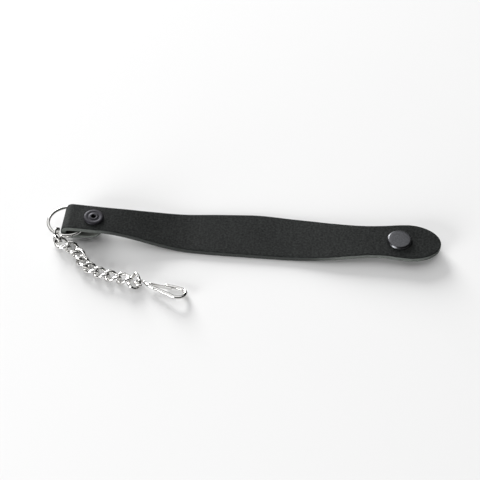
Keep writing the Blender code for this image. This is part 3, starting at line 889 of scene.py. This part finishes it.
def clipPaths():
    eyeRadius = (clipCut["eyeInside"] + clipCut["eyeWire"]) / 2
    bendRadius = (clipCut["width"] - clipCut["wire"]) / 2
    bendX = clipCut["length"] - eyeRadius - clipCut["eyeWire"] / 2 - bendRadius - clipCut["wire"] / 2
    thin = clipCut["eyeWire"] / clipCut["wire"]
    path = []
    shares = []
    for angle in range(-40, -325, -5):
        turn = math.radians(angle)
        path.append(Vector((eyeRadius * math.cos(turn), eyeRadius * math.sin(turn), 0)))
        shares.append(thin)
    shares[0] = 0.45 * thin
    shares[1] = 0.85 * thin
    neck = Vector((eyeRadius + clipCut["neck"][0], clipCut["neck"][1], 0))
    lean = math.atan2(bendRadius + neck.y, bendX - neck.x)
    spineEnd = Vector((bendX - bendRadius * math.sin(lean), -bendRadius * math.cos(lean), 0))
    shoulder = Vector((eyeRadius + clipCut["shoulder"][0], clipCut["shoulder"][1], 0))
    for place in smoothPath([path[-1], shoulder, neck, neck.lerp(spineEnd, 0.25), spineEnd], 10)[1:-1]:
        share = min(1, max(0, (place.x - shoulder.x) / (neck.x - shoulder.x)))
        path.append(place)
        shares.append(thin + (1 - thin) * share)
    first = -90 - math.degrees(lean)
    steps = 44
    for step in range(steps + 1):
        turn = math.radians(first + (90 - first) * step / steps)
        path.append(Vector((bendX + bendRadius * math.cos(turn), bendRadius * math.sin(turn), 0)))
        shares.append(1)
    for share, size in clipCut["nose"]:
        drop = share * share * clipCut["noseDrop"]
        path.append(Vector((bendX - share * clipCut["noseLength"], bendRadius - drop, 0)))
        shares.append(size)
    seat = clipCut["wire"] / 2 + foldedEnd["seatGap"] + clipCut["leafThickness"] / 2
    root = Vector((neck.x, neck.y + seat / math.cos(lean), 0))
    under = clipCut["leafBelowNose"] + foldedEnd["seatGap"] + clipCut["leafThickness"] / 2
    tip = Vector((path[-1].x + clipCut["leafUnderNose"], bendRadius - under, 0))
    middle = Vector((0.5 * (root.x + tip.x), root.y + 0.42 * (tip.y - root.y), 0))
    return path, shares, smoothPath([root, middle, tip], 20)


def flatBand(name, path, across, halfWidth, halfDepth, rounding):
    # a flat spring leaf with rounded edges and rounded corners at its ends
    shape = bmesh.new()
    rings = []
    length = sum((b - a).length for a, b in zip(path, path[1:]))
    run = 0
    for index, place in enumerate(path):
        if index:
            run += (place - path[index - 1]).length
        ahead = path[min(index + 1, len(path) - 1)] - path[max(index - 1, 0)]
        up = across.cross(ahead).normalized()
        fromEnd = min(run, length - run)
        narrow = math.sqrt(max(0, 1 - (1 - min(1, fromEnd / clipCut["leafCorner"])) ** 2))
        wide = halfWidth * (0.6 + 0.4 * narrow)
        ring = []
        for side, level, first in ((1, 1, 0), (-1, 1, 90), (-1, -1, 180), (1, -1, 270)):
            for turn in (0, 22.5, 45, 67.5, 90):
                angle = math.radians(first + turn)
                aside = side * (wide - rounding) + rounding * math.cos(angle)
                lift = level * (halfDepth - rounding) + rounding * math.sin(angle)
                ring.append(shape.verts.new(place + aside * across + lift * up))
        rings.append(ring)
    count = len(rings[0])
    for ring, following in zip(rings, rings[1:]):
        for k in range(count):
            after = (k + 1) % count
            shape.faces.new((ring[k], ring[after], following[after], following[k]))
    shape.faces.new(rings[0])
    shape.faces.new(rings[-1])
    bmesh.ops.recalc_face_normals(shape, faces=shape.faces)
    mesh = toMesh(shape, name)
    mesh.shade_smooth()
    return mesh


def makeClip():
    place = clipFrame()
    path, shares, leafPath = clipPaths()
    hook = bendWire("clipHook", wireTree, [place @ point for point in path], shares,
                    clipCut["wire"], clipCut["sides"], nickel)
    addPiece("clipHook", hook, nickel, "nickel", "root", "clip_body")
    across = (place.to_3x3() @ Vector((0, 0, 1))).normalized()
    leaf = flatBand("springLeaf", [place @ point for point in leafPath], across,
                    clipCut["leafWidth"] / 2, clipCut["leafThickness"] / 2, 0.3 * clipCut["leafThickness"])
    leaf.set_sharp_from_angle(angle=math.radians(50))
    markRub(leaf)
    addPiece("springLeaf", leaf, nickel, "nickel", "gate", "clip_gate")


makeClip()
print("clip bent")


# Press studs: profiles of (radius, height) turned round their posts

def turnProfile(name, rows, place, segments=72, corner=40):
    shape = bmesh.new()
    verts = [shape.verts.new((radius, 0, height)) for radius, height in rows]
    edges = [shape.edges.new(pair) for pair in zip(verts, verts[1:])]
    if rows[0][0] > 0:
        edges.append(shape.edges.new((verts[-1], verts[0])))
    bmesh.ops.spin(shape, geom=verts + edges, axis=(0, 0, 1), cent=(0, 0, 0),
                   steps=segments, angle=math.tau, use_merge=True)
    bmesh.ops.remove_doubles(shape, verts=shape.verts, dist=1e-6)
    bmesh.ops.recalc_face_normals(shape, faces=shape.faces)
    bmesh.ops.transform(shape, matrix=place, verts=shape.verts)
    mesh = toMesh(shape, name)
    mesh.shade_smooth()
    mesh.set_sharp_from_angle(angle=math.radians(corner))
    markRub(mesh)
    return mesh


def roundedRows(rows, steps=5):
    # rounds a profile by a curve through its points
    path = smoothPath([(radius, height, 0) for radius, height in rows], steps)
    return [(max(0, place.x), place.y) for place in path]


def makeEyelet():
    flange = eyeletCut["flange"] / 2
    hole = eyeletCut["hole"] / 2
    barrel = eyeletCut["barrel"] / 2
    base = upperRest + strapCut["thickness"] + foldedEnd["seatGap"]
    high = eyeletCut["height"]
    foot = studCut["height"] + foldedEnd["seatGap"]
    face = roundedRows([
        (hole, base + 0.3 * high), (hole, base + 0.62 * high), (1.12 * hole, base + 0.9 * high),
        (1.45 * hole, base + high), (0.4 * flange, base + 0.95 * high), (0.46 * flange, base + 0.82 * high),
        (0.53 * flange, base + 0.72 * high), (0.62 * flange, base + 0.76 * high),
        (0.72 * flange, base + 0.86 * high), (0.84 * flange, base + 0.84 * high),
        (0.95 * flange, base + 0.6 * high), (flange, base + 0.26 * high), (0.985 * flange, base)])
    rows = [(hole, foot), *face, (barrel, base), (barrel, foot)]
    addPiece("studEyelet", turnProfile("studEyelet", rows, leaning), blackened, "gunmetal", "root",
             "snap_eyelet")


def makeStud():
    knob = studCut["knob"] / 2
    base = studCut["base"] / 2
    high = studCut["height"]
    edge = high - studCut["dish"]
    foot = studCut["foot"] * knob
    shank = roundedRows([(foot, edge - 0.5 * mm), (0.76 * knob, 0.45 * high), (0.9 * knob, 0.32 * high),
                         (knob, 0.2 * high), (0.96 * knob, 0.08 * high), (foot, 0)])
    rows = [(0, high), (0.2 * base, high - 0.05 * mm), (0.6 * base, edge + 0.25 * mm),
            (0.97 * base, edge + 0.03 * mm), (base, edge - 0.1 * mm), (base, edge - 0.4 * mm),
            (0.97 * base, edge - 0.5 * mm), *shank, (0, 0)]
    addPiece("studPost", turnProfile("studPost", rows, leaning), blackened, "gunmetal", "root", "snap_stud")


def makeCap():
    rim = capCut["across"] / 2
    shank = capCut["shank"] / 2
    base = tipRest + strapCut["thickness"] + foldedEnd["seatGap"]
    high = capCut["height"]
    dome = roundedRows([
        (0, base + high), (0.35 * rim, base + 0.985 * high), (0.65 * rim, base + 0.94 * high),
        (0.83 * rim, base + 0.87 * high), (0.9 * rim, base + 0.76 * high), (0.95 * rim, base + 0.55 * high),
        (0.985 * rim, base + 0.3 * high), (rim, base + 0.14 * high), (0.985 * rim, base + 0.02 * high)])
    rows = [*dome, (0.95 * rim, base), (shank, base), (shank, tipRest), (0, tipRest)]
    place = Matrix.Translation((capX, 0, 0))
    addPiece("studCap", turnProfile("studCap", rows, place, 96), gunmetal, "gunmetal", "root", "snap_cap")


def makeSocket():
    flange = socketCut["flange"] / 2
    mouth = socketCut["mouth"] / 2
    high = socketCut["height"]
    wall = mouth + 0.35 * (flange - mouth)
    skirt = roundedRows([(flange, 0.93 * high), (0.985 * flange, 0.8 * high), (0.93 * flange, 0.73 * high),
                         (wall + 0.12 * mouth, 0.68 * high), (wall + 0.02 * mouth, 0.55 * high),
                         (wall, 0.2 * high), (0.97 * wall, 0.05 * high), (0.9 * wall, 0), (1.15 * mouth, 0),
                         (1.03 * mouth, 0.05 * high), (mouth, 0.14 * high)], 4)
    rows = [(0, high), (0.97 * flange, high), (0.995 * flange, 0.985 * high), *skirt,
            (mouth, 0.3 * high), (1.1 * mouth, 0.36 * high), (1.12 * mouth, 0.46 * high),
            (mouth, 0.52 * high), (mouth, 0.68 * high), (0, 0.68 * high)]
    place = Matrix.Translation((capX, 0, 0))
    addPiece("studSocket", turnProfile("studSocket", rows, place), gunmetal, "gunmetal", "root",
             "snap_socket")


makeEyelet()
makeStud()
makeCap()
makeSocket()
print("press studs turned")


# Studio: pale floor, soft light and the camera

studio = {
    "floorColour": (0.775, 0.775, 0.775),
    "floorSize": 3.0,
    "skyStrength": 1.1,
    "skyDark": 0.012,
    "backdrop": (0.72, 0.72, 0.72),
    "floorDrop": 0.07 * mm,
    "brightToward": (-0.25, 0.3, 0.92),
    "brightSpread": (0.6, 0.78),
    "keyPower": 150,
    "keyPlace": (-1.4, 2.6, 1.0),
    "keySize": 1.5,
    "fillPower": 42,
    "fillPlace": (-1.25, -1.4, 0.4),
    "fillSize": 1.1,
}
shot = {
    "azimuth": 4.85,
    "elevation": 47.73,
    "roll": -0.23,
    "distance": 0.6036,
    "target": (0.00702, -0.00012, 0),
    "lens": 87.5,
}


def makeFloor():
    shape = bmesh.new()
    bmesh.ops.create_grid(shape, x_segments=1, y_segments=1, size=studio["floorSize"] / 2)
    bmesh.ops.translate(shape, verts=shape.verts, vec=(0, 0, -studio["floorDrop"]))
    floor = newObject("floor", toMesh(shape, "floor"))
    look, tree, shader = newFinish("paleFloor")
    soft = addNoise(tree, addNode(tree, "ShaderNodeTexCoord").outputs["Object"], 6, 2)[0]
    pale = studio["floorColour"]
    tone = mixColours(tree, soft, [0.985 * part for part in pale], pale)
    tree.links.new(tone, shader.inputs["Base Color"])
    shader.inputs["Roughness"].default_value = 0.9
    shader.inputs["Specular IOR Level"].default_value = 0.1
    floor.data.materials.append(look)


def addLight(name, power, place, size):
    data = bpy.data.lights.new(name, "AREA")
    data.shape = "DISK"
    data.energy = power
    data.size = size
    light = newObject(name, data)
    light.location = place
    light.rotation_mode = "QUATERNION"
    light.rotation_quaternion = (-Vector(place)).to_track_quat("-Z", "Y")


def makeSky():
    # a wide bright patch overhead in a dark room, which gives bright metal its dark lines
    world = bpy.data.worlds.new("studioSky")
    bpy.context.scene.world = world
    world.use_nodes = True
    tree = world.node_tree
    way = addNode(tree, "ShaderNodeTexCoord").outputs["Generated"]
    facing = addNode(tree, "ShaderNodeVectorMath", {0: way, 1: Vector(studio["brightToward"]).normalized()},
                     operation="DOT_PRODUCT").outputs["Value"]
    share = addRange(tree, facing, *studio["brightSpread"])
    dark = studio["skyDark"]
    background = tree.nodes["Background"]
    room = mixColours(tree, share, (dark, dark, dark), (1, 1, 1))
    seen = addNode(tree, "ShaderNodeLightPath").outputs["Is Camera Ray"]
    tree.links.new(mixColours(tree, seen, room, studio["backdrop"]), background.inputs[0])
    background.inputs[1].default_value = studio["skyStrength"]


def makeCamera():
    azimuth = math.radians(shot["azimuth"])
    elevation = math.radians(shot["elevation"])
    roll = math.radians(shot["roll"])
    level = math.cos(elevation)
    back = Vector((math.sin(azimuth) * level, -math.cos(azimuth) * level, math.sin(elevation)))
    right = Vector((0, 0, 1)).cross(back).normalized()
    up = back.cross(right)
    right, up = math.cos(roll) * right + math.sin(roll) * up, math.cos(roll) * up - math.sin(roll) * right
    data = bpy.data.cameras.new("camera")
    data.lens = shot["lens"]
    data.sensor_width = 36
    data.clip_start = 0.01
    camera = newObject("camera", data)
    turn = Matrix((right, up, back)).transposed().to_4x4()
    camera.matrix_world = Matrix.Translation(Vector(shot["target"]) + back * shot["distance"]) @ turn
    bpy.context.scene.camera = camera


makeFloor()
makeSky()
bpy.context.scene.view_settings.view_transform = "Standard"
addLight("keyLight", studio["keyPower"], studio["keyPlace"], studio["keySize"])
addLight("fillLight", studio["fillPower"], studio["fillPlace"], studio["fillSize"])
makeCamera()
print("studio set")
